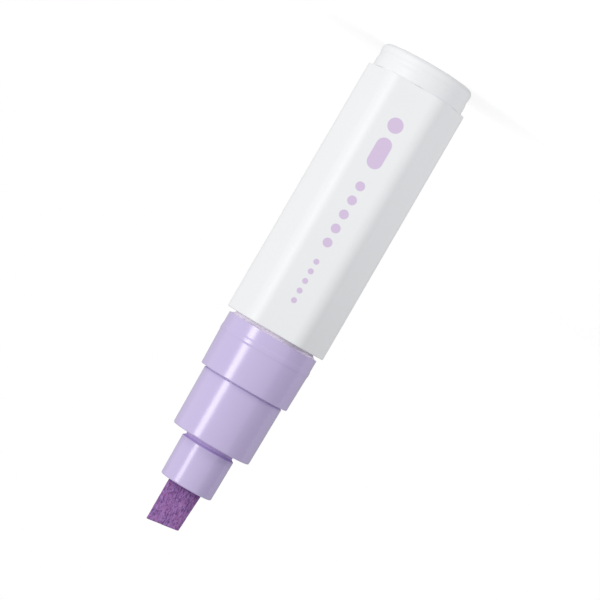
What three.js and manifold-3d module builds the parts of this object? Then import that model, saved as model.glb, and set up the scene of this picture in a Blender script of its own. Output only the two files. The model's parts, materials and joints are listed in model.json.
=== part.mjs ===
// A valve-action paint marker with a broad chisel nib, shown without its cap.
// Millimetres. It stands on its flat tail: +Z runs from the tail face at z = 0 to the nib.
import * as THREE from 'three';
import { mergeVertices } from 'three/addons/utils/BufferGeometryUtils.js';
import Module from 'manifold-3d';

const wasm = await Module();
wasm.setup();

// Tail plug, seen behind the barrel
const plugHeadLength = 6.1;
const plugRadius = 12.05;
const plugFlare = 0.12;
const plugEdge = 1.25;
const plugGrooveHeight = 2.95;
const plugGrooveWidth = 1.9;
const plugGrooveDepth = 0.14;
const plugWall = 2.2;
const plugSpigotLength = 9;
const plugSpigotWall = 1.6;
const plugRibHeight = 0.25;
const plugRibWidth = 0.7;
const plugRibPitch = 3;

// Barrel: a soft hexagon outside, a round paint reservoir inside
const barrelLength = 66.9;
const barrelFlats = 23.86;
const barrelCorner = 4.6;
const barrelEdge = 0.25;
const barrelWall = 1.45;
const mouthDepth = 14;
const mouthWall = 1.05;

// Front section: a skirt in the barrel's mouth, the collar that the cap snaps over, and the grip
const mouthGroove = 1.1;
const stemSink = 0.9;
const collarLength = 13.8;
const collarRadius = 11.93;
const collarDraft = 0.24;
const collarEdge = 0.3;
const capBeadPlace = 3.9;
const capBeadHeight = 0.17;
const capBeadWidth = 0.95;
const gripLength = 15.5;
const gripRadius = 10.52;
const gripDraft = 0.22;
const gripEdge = 0.35;
const chamberRadius = 8.6;
const chamberSetback = 7.9;
const snapHeight = 0.25;
const snapWidth = 1.6;
const snapPlace = 4.6;

// Mouth gasket: a pale ring on the stem, seen between the barrel and the collar
const mouthGasketRadius = 9.95;
const mouthGasketTaper = 0.33;
const mouthGasketWall = 0.65;

// Seal ring in the skirt
const sealGrooveDepth = 1.2;
const sealPlace = 2.8;
const sealGap = 0.05;

// Nib holder: a spigot pushed into the grip, and the neck that shows
const neckGroove = 1.1;
const neckLength = 10.8;
const neckRadius = 6.95;
const neckDraft = 0.14;
const neckEdge = 0.35;
const neckChamfer = 0.5;
const spigotRadius = 6.45;
const holderSnapHeight = 0.2;
const holderSnapWidth = 1.4;
const holderSnapPlace = 8;

// Nib: a felt block with two broad faces drawn together to a slanted edge
const nibWidth = 8;
const nibThickness = 5;
const nibTipThickness = 1.7;
const nibLength = 32;
const nibReach = 11.4;
const nibSlant = THREE.MathUtils.degToRad(10.3);
const nibTurn = THREE.MathUtils.degToRad(13);
const nibCorner = 0.6;
const nibTipCorner = 0.3;

// Valve: a cartridge closed by its spring and opened by pressing the nib
const valveTravel = 1.8;
const endPlay = 0.3;
const housingWall = 1.3;
const seatWall = 1.5;
const seatHole = 3;
const flangeThickness = 1.2;
const retainerFloor = 1.6;
const retainerRim = 0.8;
const retainerDepth = 2;
const sleeveLength = 7.5;
const sleeveRadius = 2.6;
const sleeveWall = 0.9;
const ventRadius = 0.8;
const windowCount = 6;
const windowSpread = THREE.MathUtils.degToRad(38);
const windowInner = 3.9;
const windowMargin = 0.3;
const gasketThickness = 1.6;
const gasketHole = 2.6;
const diskRadius = 4.4;
const diskThickness = 1.4;
const diskBevel = 0.5;
const shankRadius = 2.2;
const rodRadius = 1.6;
const springWire = 0.6;
const springPlay = 0.4;
const springCurls = 8;
const closedCurls = 1;
const closedPitch = 1.15;

// Mixing ball, loose in the paint
const ballRadius = 4;

// Gaps between neighbours: along the axis, pushed together, and sliding
const seam = 0.1;
const fit = 0.1;
const slide = 0.2;

// Fineness of the facets
const roundSides = 48;
const smallSides = 24;
const filletSteps = 2;
const cornerSteps = 8;
const curlSteps = 8;
const wireSides = 5;
const cutMargin = 1;

// Heights along the marker
const barrelRear = plugHeadLength;
const barrelFront = barrelRear + barrelLength;
const collarRear = barrelFront + mouthGroove;
const collarFront = collarRear + collarLength;
const gripFront = collarFront + gripLength;
const neckRear = gripFront + neckGroove;
const neckFront = neckRear + neckLength;
const nibTip = neckFront + nibReach;
const nibRear = nibTip - nibLength;
const chamberFront = collarFront - chamberSetback;
const holderRear = chamberFront + seam;
const shoulder = barrelFront - mouthDepth;
const flangeRear = shoulder + seam;
const flangeFront = flangeRear + flangeThickness;
const skirtRear = flangeFront + seam;
const housingFront = chamberFront - seam;
const gasketFront = housingFront - seatWall - seam;
const gasketRear = gasketFront - gasketThickness;
const diskFront = gasketRear - seam;
const diskRear = diskFront - diskThickness;
const floorFront = flangeRear + retainerFloor;
const sleeveFront = floorFront + sleeveLength;

// Radii that follow from their neighbours
const reservoirRadius = barrelFlats / 2 - barrelWall;
const mouthRadius = barrelFlats / 2 - mouthWall;
const skirtRadius = mouthRadius - fit;
const mouthGasketBore = mouthGasketRadius - mouthGasketWall;
const stemRadius = mouthGasketBore - sealGap;
const gripBore = spigotRadius + fit;
const housingRadius = chamberRadius - fit;
const housingBore = housingRadius - housingWall;
const retainerRadius = housingBore - fit;
const sealCord = sealGrooveDepth + fit - 2 * sealGap;
const sleeveBore = sleeveRadius - sleeveWall;
const pinRadius = sleeveBore - slide;
const springRadius = sleeveRadius + springPlay + springWire / 2;

// Corner points [x, y, fillet radius] become a profile; a corner with a fillet turns into an arc.
function rounded(corners, steps = filletSteps) {
  const points = [];
  const last = corners.length - 1;
  corners.forEach(([x, y, fillet], index) => {
    const corner = new THREE.Vector2(x, y);
    if (!fillet) {
      points.push(corner);
      return;
    }
    const [backX, backY] = corners[index === 0 ? last : index - 1];
    const [nextX, nextY] = corners[index === last ? 0 : index + 1];
    const back = new THREE.Vector2(backX - x, backY - y).normalize();
    const next = new THREE.Vector2(nextX - x, nextY - y).normalize();
    const half = Math.acos(back.dot(next)) / 2;
    const centre = back.clone().add(next).normalize().multiplyScalar(fillet / Math.sin(half)).add(corner);
    const start = back.clone().multiplyScalar(fillet / Math.tan(half)).add(corner);
    const sweep = -Math.sign(back.cross(next)) * (Math.PI - 2 * half);
    for (let step = 0; step <= steps; step++) {
      points.push(start.clone().rotateAround(centre, sweep * step / steps));
    }
  });
  return points;
}

// Turns a profile of [radius, height, fillet] corners about the Z axis. It runs up the outside.
function turned(corners, sides = roundSides) {
  const geometry = new THREE.LatheGeometry(rounded(corners), sides);
  return geometry.rotateX(Math.PI / 2);
}

// The same for a ring, whose profile closes on its first corner.
function turnedRing(corners, sides = roundSides) {
  const points = rounded(corners);
  const geometry = new THREE.LatheGeometry([...points, points[0].clone()], sides);
  return geometry.rotateX(Math.PI / 2);
}

// An outline in XY raised along +Z from one height to another.
function raised(points, from, to) {
  const shape = new THREE.Shape(points);
  return new THREE.ExtrudeGeometry(shape, { depth: to - from, bevelEnabled: false }).translate(0, 0, from);
}

// A closed geometry as a solid that can be cut and joined.
function solid(geometry) {
  const bare = geometry.clone();
  bare.deleteAttribute('normal');
  bare.deleteAttribute('uv');
  const merged = mergeVertices(bare, 1e-4);
  const vertProperties = new Float32Array(merged.attributes.position.array);
  const triVerts = new Uint32Array(merged.index.array);
  return new wasm.Manifold(new wasm.Mesh({ numProp: 3, vertProperties, triVerts }));
}

// A solid back as a geometry.
function geometryOf(body) {
  const mesh = body.getMesh();
  const geometry = new THREE.BufferGeometry();
  geometry.setAttribute('position', new THREE.BufferAttribute(new Float32Array(mesh.vertProperties), 3));
  geometry.setIndex(new THREE.BufferAttribute(new Uint32Array(mesh.triVerts), 1));
  geometry.computeVertexNormals();
  return geometry;
}

function cut(geometry, ...tools) {
  const body = tools.reduce((rest, tool) => rest.subtract(solid(tool)), solid(geometry));
  return geometryOf(body);
}

// A bead round a wall of the given radius, as profile corners running up. Below zero height it is a
// groove.
function bead(radius, height, centre, width) {
  return [
    [radius, centre - width / 2],
    [radius + height, centre - width / 5],
    [radius + height, centre + width / 5],
    [radius, centre + width / 2],
  ];
}

// Tail plug: a flat end with a rounded rim, a wide shallow groove round the head, and a hollow
// spigot with two sealing ribs.
function tailPlug() {
  const spigotTop = barrelRear + plugSpigotLength;
  const ribTip = reservoirRadius - sealGap;
  const spigot = ribTip - plugRibHeight;
  const firstRib = barrelRear + plugRibPitch;
  return turned([
    [0, 0],
    [plugRadius, 0, plugEdge],
    ...bead(plugRadius, -plugGrooveDepth, plugGrooveHeight, plugGrooveWidth),
    [plugRadius + plugFlare, barrelRear - seam],
    [spigot, barrelRear - seam],
    ...bead(spigot, plugRibHeight, firstRib, plugRibWidth),
    ...bead(spigot, plugRibHeight, firstRib + plugRibPitch, plugRibWidth),
    [spigot, spigotTop, plugSpigotWall / 3],
    [spigot - plugSpigotWall, spigotTop, plugSpigotWall / 3],
    [spigot - plugSpigotWall, plugWall, plugSpigotWall],
    [0, plugWall],
  ]);
}

// Barrel: a hexagon with wide round corners, bored for the paint and for the front section's skirt.
function barrel() {
  const corner = barrelFlats / 2 / Math.cos(Math.PI / 6);
  const corners = Array.from({ length: 6 }, (_, index) => {
    const angle = index * Math.PI / 3;
    return [corner * Math.cos(angle), corner * Math.sin(angle), barrelCorner];
  });
  const outside = new THREE.ExtrudeGeometry(new THREE.Shape(rounded(corners, cornerSteps)), {
    depth: barrelLength - 2 * barrelEdge,
    bevelThickness: barrelEdge,
    bevelSize: barrelEdge,
    bevelOffset: -barrelEdge,
    bevelSegments: filletSteps,
  });
  outside.translate(0, 0, barrelRear + barrelEdge);
  const snapCentre = barrelFront - snapPlace;
  const bore = turned([
    [0, barrelRear - cutMargin],
    [reservoirRadius, barrelRear - cutMargin],
    [reservoirRadius, shoulder],
    [mouthRadius, shoulder],
    ...bead(mouthRadius, snapHeight, snapCentre, snapWidth + 2 * fit),
    [mouthRadius, barrelFront + cutMargin],
    [0, barrelFront + cutMargin],
  ]);
  return cut(outside, bore);
}

// Front section: skirt with a seal groove and a snap bead, stem, collar with the cap's bead, and grip.
function frontSection() {
  const sealHeight = skirtRear + sealPlace;
  const sealFloor = skirtRadius - sealGrooveDepth;
  const sealHalf = sealCord / 2 + slide;
  const stemRear = barrelFront - stemSink;
  const collarFrontRadius = collarRadius - collarDraft;
  const beadHeight = collarRear + capBeadPlace;
  const gripEnd = gripRadius - gripDraft;
  return turnedRing([
    [chamberRadius, skirtRear],
    [skirtRadius, skirtRear, collarEdge],
    [skirtRadius, sealHeight - sealHalf],
    [sealFloor, sealHeight - sealHalf],
    [sealFloor, sealHeight + sealHalf],
    [skirtRadius, sealHeight + sealHalf],
    ...bead(skirtRadius, snapHeight, barrelFront - snapPlace, snapWidth),
    [skirtRadius, stemRear],
    [stemRadius, stemRear],
    [stemRadius, collarRear],
    [collarRadius, collarRear, collarEdge],
    ...bead(collarRadius, capBeadHeight, beadHeight, capBeadWidth),
    [collarFrontRadius, collarFront, collarEdge],
    [gripRadius, collarFront],
    [gripEnd, gripFront, gripEdge],
    [gripBore, gripFront],
    ...bead(gripBore, holderSnapHeight, holderRear + holderSnapPlace, holderSnapWidth + 2 * fit).reverse(),
    [gripBore, chamberFront],
    [chamberRadius, chamberFront],
  ]);
}

// Mouth gasket round the stem, from inside the barrel's mouth to the collar's rear face. Where it
// shows it narrows towards the collar.
function mouthGasket() {
  const front = collarRear - sealGap;
  return turnedRing([
    [mouthGasketBore, barrelFront - stemSink + seam],
    [mouthGasketRadius, barrelFront - stemSink + seam],
    [mouthGasketRadius, barrelFront],
    [mouthGasketRadius - mouthGasketTaper, front],
    [mouthGasketBore, front],
  ]);
}

// Seal ring lying in the skirt's groove and against the barrel's mouth.
function sealRing() {
  const centre = skirtRadius - sealGrooveDepth + sealGap + sealCord / 2;
  const circle = new THREE.Path();
  circle.absarc(centre, skirtRear + sealPlace, sealCord / 2, 0, 2 * Math.PI);
  return new THREE.LatheGeometry(circle.getPoints(5), roundSides).rotateX(Math.PI / 2);
}

// Closed rings of equally many points joined into one body with flat ends.
// The rings run anticlockwise, seen from the last one.
function lofted(rings) {
  const count = rings[0].length;
  const lastRing = (rings.length - 1) * count;
  const index = [];
  for (let start = 0; start < lastRing; start += count) {
    for (let side = 0; side < count; side++) {
      const near = start + side;
      const far = start + (side + 1) % count;
      index.push(near, far, far + count, near, far + count, near + count);
    }
  }
  for (let side = 1; side < count - 1; side++) {
    index.push(0, side + 1, side);
    index.push(lastRing, lastRing + side, lastRing + side + 1);
  }
  const geometry = new THREE.BufferGeometry();
  geometry.setFromPoints(rings.flat());
  geometry.setIndex(index);
  geometry.computeVertexNormals();
  return geometry;
}

// A rectangle with round corners about the axis, given by its half sizes.
function roundedRectangle(x, y, fillet) {
  return rounded([[-x, -y, fillet], [x, -y, fillet], [x, y, fillet], [-x, y, fillet]]);
}

// Nib holder: a spigot and a neck with a chamfered rear edge, and the nib's slot right through both.
function nibHolder() {
  const body = turned([
    [0, holderRear],
    [spigotRadius, holderRear, neckEdge],
    ...bead(spigotRadius, holderSnapHeight, holderRear + holderSnapPlace, holderSnapWidth),
    [spigotRadius, neckRear],
    [neckRadius, neckRear + neckChamfer],
    [neckRadius - neckDraft, neckFront, neckEdge],
    [0, neckFront],
  ]);
  const section = roundedRectangle(nibWidth / 2 + slide, nibThickness / 2 + slide, nibCorner);
  const slot = raised(section, holderRear - cutMargin, neckFront + cutMargin);
  return cut(body, slot.rotateZ(nibTurn));
}

// Nib: a block whose broad faces draw together from the neck to a blunt edge. The edge slants,
// so every ring from the neck on leans with it, and its rim is rounded all the way round.
function nib() {
  const slope = Math.tan(nibSlant);
  const ring = (halfWidth, halfThickness, height, lean) => {
    const fillet = Math.min(nibCorner, halfThickness * 0.8);
    const outline = roundedRectangle(halfWidth, halfThickness, fillet);
    return outline.map(({ x, y }) => new THREE.Vector3(x, y, height + lean * (x - nibWidth / 2)));
  };
  const halfWidth = nibWidth / 2;
  const halfThickness = nibThickness / 2;
  const halfTip = nibTipThickness / 2;
  const rim = Array.from({ length: filletSteps + 1 }, (_, step) => {
    const angle = step / filletSteps * Math.PI / 2;
    const inset = nibTipCorner * (1 - Math.cos(angle));
    const height = nibTip - nibTipCorner * (1 - Math.sin(angle));
    return ring(halfWidth - inset, halfTip - inset, height, slope);
  });
  return lofted([
    ring(halfWidth, halfThickness, nibRear, 0),
    ring(halfWidth, halfThickness, neckFront, slope),
    ...rim,
  ]).rotateZ(nibTurn);
}

// Valve housing: a tube in the front section's chamber, closed in front but for the seat's hole.
function valveHousing() {
  return turnedRing([
    [housingBore, flangeFront + seam],
    [housingRadius, flangeFront + seam],
    [housingRadius, housingFront, housingWall / 3],
    [seatHole, housingFront],
    [seatHole, housingFront - seatWall],
    [housingBore, housingFront - seatWall],
  ]);
}

// Valve retainer: a flange held under the skirt, with a rim in the housing, windows that let the
// paint in, and a sleeve that guides the stem.
function valveRetainer() {
  const rimBore = retainerRadius - retainerRim;
  const rimFront = flangeFront + retainerDepth;
  const body = turnedRing([
    [ventRadius, flangeRear],
    [skirtRadius, flangeRear],
    [skirtRadius, flangeFront],
    [retainerRadius, flangeFront],
    [retainerRadius, rimFront, retainerRim / 3],
    [rimBore, rimFront],
    [rimBore, floorFront],
    [sleeveRadius, floorFront],
    [sleeveRadius, sleeveFront],
    [sleeveBore, sleeveFront],
    [sleeveBore, floorFront],
    [ventRadius, floorFront],
  ]);
  const windows = Array.from({ length: windowCount }, (_, index) => {
    const outline = new THREE.Shape();
    outline.absarc(0, 0, rimBore - windowMargin, -windowSpread / 2, windowSpread / 2);
    outline.absarc(0, 0, windowInner, windowSpread / 2, -windowSpread / 2, true);
    const from = flangeRear - cutMargin;
    const to = floorFront + cutMargin;
    return raised(outline.getPoints(filletSteps), from, to).rotateZ(index * 2 * Math.PI / windowCount);
  });
  return cut(body, ...windows);
}

// Gasket behind the housing's front wall, on which the stem's disk seals.
function valveGasket() {
  return turnedRing([
    [gasketHole, gasketRear],
    [retainerRadius, gasketRear],
    [retainerRadius, gasketFront],
    [gasketHole, gasketFront],
  ]);
}

// Valve stem: pin in the sleeve, shank in the spring, sealing disk, and the rod that the nib pushes.
function valveStem() {
  const pinRear = floorFront + valveTravel + endPlay;
  const shankRear = sleeveFront + valveTravel + endPlay;
  const rodFront = nibRear - seam;
  return turned([
    [0, pinRear],
    [pinRadius, pinRear, slide],
    [pinRadius, shankRear],
    [shankRadius, shankRear, slide],
    [shankRadius, diskRear],
    [diskRadius, diskRear],
    [diskRadius, diskFront - diskBevel],
    [diskRadius - diskBevel, diskFront],
    [rodRadius, diskFront],
    [rodRadius, rodFront, rodRadius / 3],
    [0, rodFront],
  ], smallSides);
}

// Valve spring: one wire from the retainer's floor to the disk, close at both ends and open between.
function valveSpring() {
  const rear = floorFront + seam + springWire / 2;
  const rise = diskRear - seam - springWire / 2 - rear;
  const openCurls = springCurls - 2 * closedCurls;
  const openPitch = (rise - 2 * closedCurls * closedPitch) / openCurls;
  const steps = springCurls * curlSteps;
  const rings = Array.from({ length: steps + 1 }, (_, step) => {
    const curl = step / curlSteps;
    const open = THREE.MathUtils.clamp(curl - closedCurls, 0, openCurls);
    const angle = 2 * Math.PI * curl;
    const radial = new THREE.Vector3(Math.cos(angle), Math.sin(angle), 0);
    const height = rear + (curl - open) * closedPitch + open * openPitch;
    const centre = radial.clone().multiplyScalar(springRadius).setZ(height);
    const lead = openPitch / 2 / Math.PI / springRadius;
    const across = new THREE.Vector3(-radial.y, radial.x, lead).normalize().cross(radial);
    return Array.from({ length: wireSides }, (_, side) => {
      const turn = 2 * Math.PI * side / wireSides;
      return centre.clone()
        .addScaledVector(radial, springWire / 2 * Math.cos(turn))
        .addScaledVector(across, springWire / 2 * Math.sin(turn));
    });
  });
  console.log(`valve_spring: least gap to itself ${leastGap(rings).toFixed(2)} mm`);
  return lofted(rings);
}

// The least distance between points of a wire that are half a curl or more apart along it.
function leastGap(rings) {
  let least = Infinity;
  rings.forEach((ring, index) => {
    for (const other of rings.slice(index + curlSteps / 2)) {
      for (const point of ring) {
        least = Math.min(least, ...other.map((far) => far.distanceTo(point)));
      }
    }
  });
  return least;
}

// Mixing ball, lying on the floor of the tail plug.
function mixingBall() {
  const ball = new THREE.SphereGeometry(ballRadius, smallSides, smallSides / 2).rotateX(Math.PI / 2);
  return ball.translate(0, 0, plugWall + seam + ballRadius);
}

const whitePlastic = new THREE.MeshStandardMaterial({ color: 0xeceef1, roughness: 0.35, metalness: 0 });
const lilacPlastic = new THREE.MeshStandardMaterial({ color: 0xc3b4da, roughness: 0.3, metalness: 0 });
const clearPlastic = new THREE.MeshStandardMaterial({ color: 0xdfe2e4, roughness: 0.4, metalness: 0 });
const paleRubber = new THREE.MeshStandardMaterial({ color: 0xebe5f2, roughness: 0.5, metalness: 0 });
const darkRubber = new THREE.MeshStandardMaterial({ color: 0x2c2c2e, roughness: 0.8, metalness: 0 });
const steel = new THREE.MeshStandardMaterial({ color: 0xb9bcc0, roughness: 0.25, metalness: 1 });
const felt = new THREE.MeshStandardMaterial({ color: 0x8c5ea3, roughness: 0.95, metalness: 0 });

const paintMarker = new THREE.Group();

function add(name, geometry, material) {
  const mesh = new THREE.Mesh(geometry, material);
  mesh.name = name;
  paintMarker.add(mesh);
}

add('tail_plug', tailPlug(), whitePlastic);
add('barrel', barrel(), whitePlastic);
add('front_section', frontSection(), lilacPlastic);
add('mouth_gasket', mouthGasket(), paleRubber);
add('seal_ring', sealRing(), darkRubber);
add('nib_holder', nibHolder(), lilacPlastic);
add('nib', nib(), felt);
add('valve_housing', valveHousing(), clearPlastic);
add('valve_retainer', valveRetainer(), clearPlastic);
add('valve_gasket', valveGasket(), darkRubber);
add('valve_stem', valveStem(), clearPlastic);
add('valve_spring', valveSpring(), steel);
add('mixing_ball', mixingBall(), steel);

export default paintMarker;
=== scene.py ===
import json
import math

import bpy
import numpy as np
from mathutils import Matrix, Vector


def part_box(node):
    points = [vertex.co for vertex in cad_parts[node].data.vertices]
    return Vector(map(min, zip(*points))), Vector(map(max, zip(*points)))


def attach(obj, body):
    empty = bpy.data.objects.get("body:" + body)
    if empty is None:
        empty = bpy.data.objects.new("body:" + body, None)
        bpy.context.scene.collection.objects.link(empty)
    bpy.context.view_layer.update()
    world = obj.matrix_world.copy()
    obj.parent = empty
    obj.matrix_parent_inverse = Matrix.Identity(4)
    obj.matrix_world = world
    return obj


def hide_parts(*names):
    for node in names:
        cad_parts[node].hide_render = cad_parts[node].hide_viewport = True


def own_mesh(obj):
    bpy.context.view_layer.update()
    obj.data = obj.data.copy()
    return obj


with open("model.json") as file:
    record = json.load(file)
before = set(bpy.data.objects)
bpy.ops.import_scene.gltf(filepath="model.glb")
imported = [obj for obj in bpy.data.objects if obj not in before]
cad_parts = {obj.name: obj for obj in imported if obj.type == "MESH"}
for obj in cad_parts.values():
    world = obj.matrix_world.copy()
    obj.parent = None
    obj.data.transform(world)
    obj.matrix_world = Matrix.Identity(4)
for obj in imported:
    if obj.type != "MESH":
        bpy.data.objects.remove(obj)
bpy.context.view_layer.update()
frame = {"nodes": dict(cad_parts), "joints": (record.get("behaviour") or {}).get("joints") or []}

MM = 0.001

# Where the frame puts the pieces
plug_low, plug_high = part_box("tail_plug")
barrel_low, barrel_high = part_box("barrel")
front_low, front_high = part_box("front_section")
gasket_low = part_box("mouth_gasket")[0]
holder_low, holder_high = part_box("nib_holder")
nib_low, nib_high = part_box("nib")
spring_low, spring_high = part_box("valve_spring")

# Tail plug
PLUG_RADIUS = 12.05 * MM
PLUG_SHOULDER_RADIUS = 12.08 * MM
PLUG_SHOULDER_EDGE = 0.02 * MM
PLUG_SPIGOT_RADIUS = 10.18 * MM
PLUG_RIB_RADIUS = 10.43 * MM
PLUG_EDGE = 1.25 * MM
PLUG_FLOOR = 2.2 * MM
PLUG_POLE_RADIUS = 0.5 * MM
PLUG_SPIGOT_WALL = 1.6 * MM
PLUG_GROOVE_HEIGHT = 2.95 * MM
PLUG_GROOVE_WIDTH = 1.9 * MM
PLUG_GROOVE_DEPTH = 0.14 * MM
PLUG_GROOVE_FILLET = 0.9 * MM
PLUG_RIBS = 2
PLUG_RIB_PITCH = 3 * MM
PLUG_RIB_WIDTH = 0.7 * MM

# Barrel
BARREL_CORNER = 4.6 * MM
BARREL_EDGE = 0.25 * MM
BARREL_REAR_EDGE = 0.15 * MM
BORE_EDGE = 0.12 * MM
RESERVOIR_RADIUS = 10.48 * MM
MOUTH_RADIUS = 10.88 * MM
MOUTH_DEPTH = 14 * MM
SNAP_PLACE = 4.6 * MM
SNAP_HEIGHT = 0.25 * MM
SNAP_WIDTH = 1.6 * MM
SNAP_PLAY = 0.1 * MM

# Front section
SKIRT_RADIUS = 10.78 * MM
SEAL_GROOVE_RADIUS = 9.58 * MM
SEAL_PLACE = 2.8 * MM
SEAL_HALF = 0.8 * MM
STEM_RADIUS = 9.25 * MM
STEM_SINK = 0.9 * MM
GASKET_PLAY = 0.04 * MM
GASKET_SEAM = 0.2 * MM
GASKET_RADIUS = 10.45 * MM
GASKET_TAPER = 0.05 * MM
GASKET_FLARE = 1.1 * MM
MOUTH_GROOVE = 1.1 * MM
COLLAR_RADIUS = 11.93 * MM
COLLAR_DRAFT = 0.24 * MM
COLLAR_LENGTH = 13.72 * MM
COLLAR_EDGE = 0.22 * MM
COLLAR_REAR_EDGE = 0.1 * MM
COLLAR_REAR_SINK = 0.2 * MM
CAP_BEAD_PLACE = 3.65 * MM
CAP_BEAD_HEIGHT = 0.11 * MM
CAP_BEAD_WIDTH = 1.8 * MM
STEP_SINK = 0.22 * MM
STEP_WIDTH = 0.44 * MM
STEP_FILLET = 0.2 * MM
GRIP_REAR_EDGE = 0.18 * MM
GRIP_RADIUS = 10.52 * MM
GRIP_DRAFT = 0.22 * MM
GRIP_EDGE = 0.35 * MM
GRIP_BORE = 6.55 * MM
CHAMBER_RADIUS = 8.6 * MM
CHAMBER_SETBACK = 7.82 * MM

# Nib holder
NECK_LENGTH = 10.8 * MM
NECK_CHAMFER = 0.325 * MM
NECK_REAR_EDGE = 0.2 * MM
NECK_DRAFT = 0.14 * MM
NECK_EDGE = 0.35 * MM
SPIGOT_RADIUS = 6.45 * MM
SPIGOT_HOLLOW = 0.25 * MM
SPIGOT_HOLLOW_START = 0.1 * MM
SPIGOT_HOLLOW_END = 0.2 * MM
SPIGOT_HOLLOW_FILLET = 0.3 * MM
HOLDER_SNAP_PLACE = 8 * MM
HOLDER_SNAP_HEIGHT = 0.2 * MM
HOLDER_SNAP_WIDTH = 1.4 * MM
SLOT_PLAY = 0.2 * MM
SLOT_LIP = 0.15 * MM
SLOT_LIP_BEND = 0.04 * MM

# Nib
NIB_WIDTH = 8 * MM
NIB_THICKNESS = 5 * MM
NIB_TIP_THICKNESS = 1.7 * MM
NIB_TURN = math.radians(13)
NIB_SLANT = math.radians(9.4)
NIB_CORNER = 0.75 * MM
NIB_TIP_CORNER = 0.2 * MM
NIB_LEAN = 0.3 * MM
NIB_SWELL = 0.11 * MM
NIB_TIP_ROOM = 0.01 * MM
NIB_TIP_MIDDLE = 0.02 * MM
NIB_FOOT_EDGE = 0.3 * MM
NIB_FOOT_HEIGHTS = (0, 0.08 * MM)
NIB_FOOT_INSETS = (0.3 * MM, 0.06 * MM)
NIB_FINE_FROM = 2 * MM
NIB_ROW_STEP = 0.1 * MM

# Shares of the nib's half thickness: by how much its long sides fall off towards their ends, by how
# much the worn corners fall off, and how large a corner's radius may be. The wear starts at a share
# of the half width.
NIB_CROWN = 0.08
NIB_BEVEL = 0.65
NIB_BEVEL_START = 0.3
NIB_LARGEST_CORNER = 0.8

# The felt's rough skin: its depth, how much slower it changes along Z, and its layers of noise, each
# with a share, a cell and a seed
FELT_ROUGHNESS = 0.035 * MM
FELT_STRETCH = 0.45
FELT_LAYERS = ((0.6, 0.55 * MM, 3.1), (0.4, 0.24 * MM, 8.7))
HASH_STEPS = (12.9898, 78.233, 37.719)
HASH_SCALE = 43758.5453

# Valve spring
SPRING_WIRE = 0.6 * MM
SPRING_CURLS = 8
SPRING_CLOSED_CURLS = 1
SPRING_CLOSED_PITCH = 1.15 * MM

# Edges of the hidden grooves and bores
SHARP_EDGE = 0.05 * MM
SOFT_EDGE = 0.1 * MM

# Marks of the print: radius, and the heights between which its centre line runs
PRINT_SOFTNESS = 0.06 * MM
PRINT_MARKS = [
    *[(0.7 * MM, height * MM, height * MM) for height in (64, 61.4, 58.8, 56.2, 53.6)],
    *[(1.15 * MM, height * MM, height * MM) for height in (48.4, 44.6, 40.8, 37, 33.2)],
    (1.9 * MM, 22.2 * MM, 26.4 * MM),
    (1.9 * MM, 16.8 * MM, 16.8 * MM),
]

# Finishes
WHITE_ROUGHNESS = 0.45
LILAC_ROUGHNESS = 0.19
HOLDER_ROUGHNESS = 0.22
# Painted shade in the groove behind the holder's neck: its roughness, reach and softness
GROOVE_ROUGHNESS = 0.4
GROOVE_SHADE_REACH = 0.35 * MM
GROOVE_SHADE_SOFTNESS = 0.15 * MM
WHITE_REFRACTION = 1.48
LILAC_REFRACTION = 1.52
GASKET_REFRACTION = 1.4
RIPPLE_DEPTH = 0.03 * MM
RUBBER_GRAIN_DEPTH = 0.02 * MM

# Felt: its relief, a band below the holder's neck that is painted darker as shade, and the shares of
# the dark and red tones in its colour
FELT_BUMP_DEPTH = 0.08 * MM
FELT_SPECULAR = 0.15
NECK_SHADE_REACH = 0.7 * MM
NECK_SHADE_SOFTNESS = 2 * MM
NECK_SHADE_SHARE = 0.5
PIT_SHARE = 0.6
DARKEST_SHARE = 0.85
RED_SHARE = 0.4
TONE_STOPS = (0.34, 0.48, 0.68)

# Floor, backdrop and cards. Nearer to the tail than FLOOR_NEAR the floor glows less by a share, a
# painted contact shadow round the tail.
WORLD_LEVEL = 0.57
FLOOR_HALF = 4.0
FLOOR_ALBEDO = 0.9
FLOOR_ROUGHNESS = 0.9
FLOOR_GLOW = 0.46
FLOOR_PAINTED_SHADOW = 0.82
FLOOR_NEAR = 0.035
FLOOR_SOFT = 0.04
CARD_HEIGHT = 1.6
KEY_TINT = (1.0, 1.01, 0.97)

# Camera, from the photograph's perspective
SENSOR_WIDTH = 36
CLIP_START = 0.01
CLIP_END = 50
PHOTO_SIDE = 600
PIXELS_PER_METRE = 4200
FOCAL_PIXELS = 2800
AXIS_FROM_VERTICAL = math.radians(30.18)
CENTRE_HEIGHT = 63.26 * MM
CENTRE_OFFSET = -1.19 * MM

# How finely the surfaces are sampled, how far beside a fillet its support points lie, and how far
# from its corner an outline's end that is dropped again lies
ROUND_STEPS = 192
ARC_STEPS = 6
NIB_STEPS = 320
NIB_BURIED_ROWS = 12
NIB_SHOWN_ROWS = 110
NIB_RIM_ROWS = 6
NIB_FACE_ROWS = 4
WIRE_STEPS = 48
WIRE_SIDES = 12
SUPPORT = 0.03 * MM
END_RUN = 1 * MM
SHARP_ANGLE = math.radians(40)
TINY = 1e-9


def set_camera():
    """Looks along +Y at the marker's middle height, turned so that the nib points down and left."""
    distance = FOCAL_PIXELS / PIXELS_PER_METRE
    data = bpy.data.cameras.new("camera")
    data.sensor_width = SENSOR_WIDTH
    data.lens = FOCAL_PIXELS / PHOTO_SIDE * data.sensor_width
    data.clip_start = CLIP_START
    data.clip_end = CLIP_END
    camera = bpy.data.objects.new("camera", data)
    bpy.context.scene.collection.objects.link(camera)
    place = Matrix.Translation((CENTRE_OFFSET, -distance, CENTRE_HEIGHT))
    level = Matrix.Rotation(math.pi / 2, 4, "X")
    roll = Matrix.Rotation(AXIS_FROM_VERTICAL - math.pi, 4, "Z")
    camera.matrix_world = place @ level @ roll
    bpy.context.scene.camera = camera


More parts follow.
